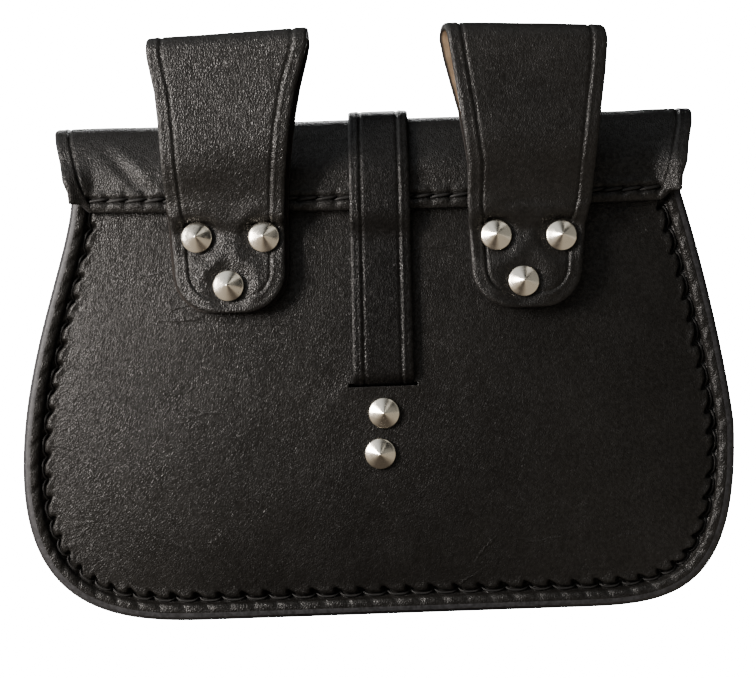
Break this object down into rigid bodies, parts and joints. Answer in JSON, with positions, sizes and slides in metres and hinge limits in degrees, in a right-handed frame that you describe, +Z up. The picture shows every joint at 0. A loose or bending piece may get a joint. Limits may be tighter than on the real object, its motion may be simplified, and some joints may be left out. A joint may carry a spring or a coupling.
{
  "type": "leather belt bag with flap, two belt loops and closing strap",
  "caption": "Black leather belt bag with hand-stitched rim, flap, closing strap through a slit, cone studs and belt loops.",
  "frame": {"origin": "middle of the footprint box, on the surface that the bag stands on", "axes": "+X to the right seen from the back, +Y from the back towards the front, +Z up"},
  "size_m": [0.2276, 0.0776, 0.1863],
  "materials": {
    "black_leather": "satin",
    "raw_leather": "matte",
    "waxed_thread": "satin",
    "nickel": "polished"
  },
  "bodies": {
    "root": {"back_panel": "black_leather", "front_panel": "black_leather", "gusset": "black_leather", "flap": "black_leather", "belt_loop_left": "black_leather", "belt_loop_right": "black_leather", "closing_strap": "black_leather", "stud_left_1": "nickel", "stud_left_2": "nickel", "stud_left_3": "nickel", "stud_right_1": "nickel", "stud_right_2": "nickel", "stud_right_3": "nickel", "stud_strap_1": "nickel", "stud_strap_2": "nickel", "closing_stud": "nickel"}
  },
  "joints": []
}
